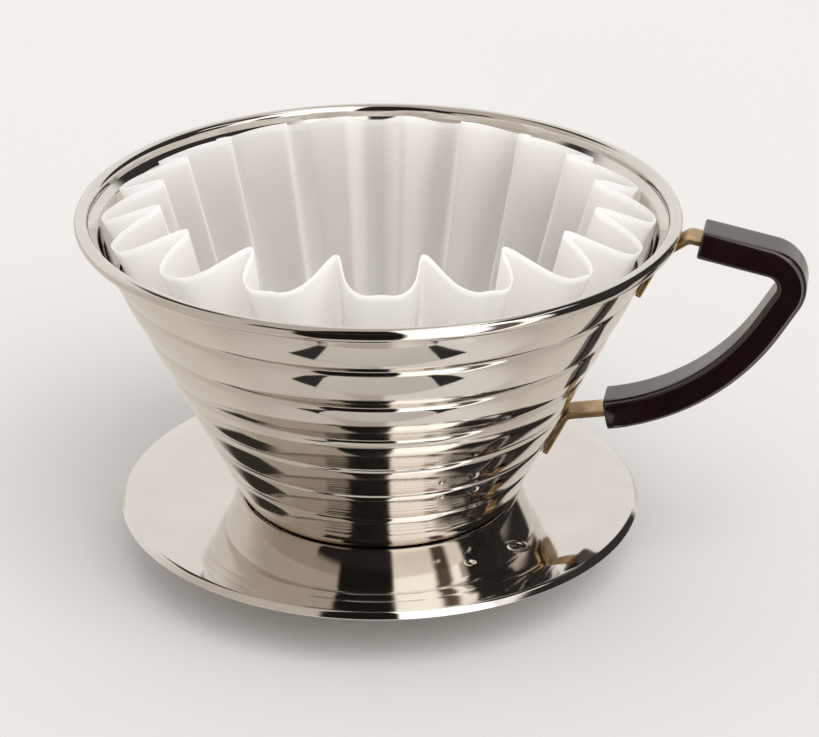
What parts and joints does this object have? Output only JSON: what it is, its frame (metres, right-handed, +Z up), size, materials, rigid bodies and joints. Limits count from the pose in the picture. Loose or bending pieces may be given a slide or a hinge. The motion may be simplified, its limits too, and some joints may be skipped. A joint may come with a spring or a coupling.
{
  "type": "pour over dripper",
  "caption": "Ribbed flat-bottomed steel coffee dripper on a round base flange, with a dark side grip on a brass strip and a pleated paper filter that lifts out.",
  "frame": {"origin": "on the cone's axis, in the seat plane where the locating ring's washer rests on a server's mouth", "axes": "+Z up along the cone's axis, +X along the handle, away from the cone"},
  "size_m": [0.14, 0.116, 0.0769],
  "materials": {
    "polished_steel": "mirror-polished stainless steel",
    "satin_steel": "satin stainless steel",
    "strip_brass": "dull, slightly tarnished brass",
    "grip_resin": "glossy dark brown moulded resin",
    "filter_paper": "bleached filter paper"
  },
  "bodies": {
    "dripper": {"cone_body": "polished_steel", "base_flange": "polished_steel", "locating_ring": "satin_steel", "ring_welds": "satin_steel", "handle_strip": "strip_brass", "handle_grip": "grip_resin", "upper_tab_welds": "strip_brass", "lower_tab_welds": "strip_brass"},
    "filter": {"paper_filter": "filter_paper"}
  },
  "joints": [
    {"name": "filter_lift", "type": "slide", "parent": "dripper", "child": "filter", "axis": [0, 0, 1], "range_m": [0, 0.09]}
  ]
}
